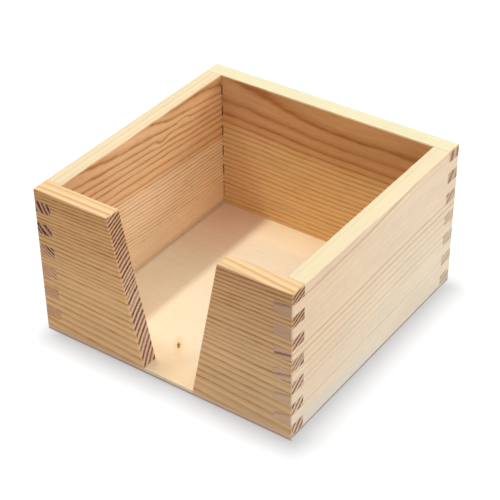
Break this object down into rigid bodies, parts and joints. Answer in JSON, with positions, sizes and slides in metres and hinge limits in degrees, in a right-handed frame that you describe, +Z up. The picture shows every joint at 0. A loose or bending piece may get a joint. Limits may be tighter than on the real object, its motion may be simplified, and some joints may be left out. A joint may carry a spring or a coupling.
{
  "type": "napkin box",
  "caption": "Square open-top wooden box for folded paper napkins, with finger-jointed corners, a tapered hand notch through the front and a thin plywood base.",
  "frame": {"origin": "centre of the underside of the base, on the surface that the box stands on", "axes": "+Z up out of the open top; -Y out of the front, where the notch is; +X to the right seen from the front"},
  "size_m": [0.154, 0.155, 0.088],
  "materials": {
    "left_pine": "sanded, unvarnished",
    "right_pine": "sanded, unvarnished",
    "back_pine": "sanded, unvarnished",
    "front_pine": "sanded, unvarnished",
    "birch_ply": "sanded, unvarnished",
    "brad_steel": "bright drawn wire"
  },
  "bodies": {
    "root": {"left_wall": "left_pine", "right_wall": "right_pine", "back_wall": "back_pine", "front_left_cheek": "front_pine", "front_right_cheek": "front_pine", "base_panel": "birch_ply", "base_brads": "brad_steel"}
  },
  "joints": []
}
